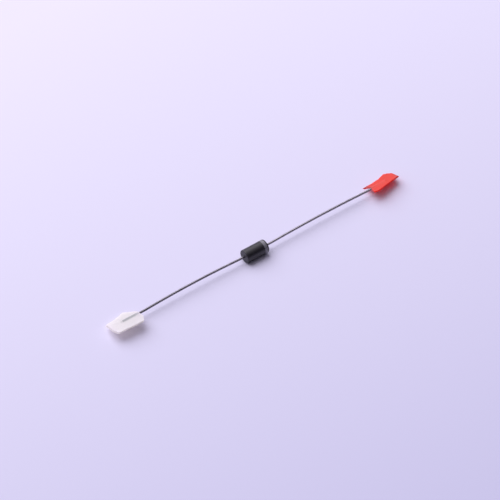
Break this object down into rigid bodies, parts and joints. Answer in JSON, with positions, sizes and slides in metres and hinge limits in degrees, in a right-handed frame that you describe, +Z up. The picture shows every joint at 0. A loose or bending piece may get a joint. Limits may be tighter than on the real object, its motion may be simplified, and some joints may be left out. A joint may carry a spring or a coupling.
{
  "type": "switching diode",
  "caption": "Axial-lead diode: small black moulded cylinder with a grey cathode band, straight tinned wire leads, and a snipped tab of carrier tape on each lead, one white and one red.",
  "frame": {"origin": "on the bench, straight below the middle of the moulded body, midway between the two tape tabs", "axes": "+X along the leads from anode to cathode, +Z up, -Y towards the near side of the tabs"},
  "size_m": [0.0651, 0.0053, 0.0026],
  "materials": {
    "moulding_compound": "black moulded epoxy, satin, with a faint grain",
    "band_ink": "grey printed ink, satin",
    "tinned_wire": "bright tin plating on drawn copper wire",
    "silicon": "dark polished silicon",
    "solder": "dull solder",
    "junction_silicone": "milky soft silicone",
    "white_tape": "white crepe paper tape, matt, slightly see-through over the wire",
    "red_tape": "red crepe paper tape, matt, slightly see-through"
  },
  "bodies": {
    "root": {"moulded_body": "moulding_compound", "cathode_band": "band_ink", "anode_lead": "tinned_wire", "cathode_lead": "tinned_wire", "silicon_die": "silicon", "anode_solder": "solder", "cathode_solder": "solder", "junction_coating": "junction_silicone", "anode_tape_upper": "white_tape", "anode_tape_lower": "white_tape", "cathode_tape_upper": "red_tape", "cathode_tape_lower": "red_tape"}
  },
  "joints": []
}
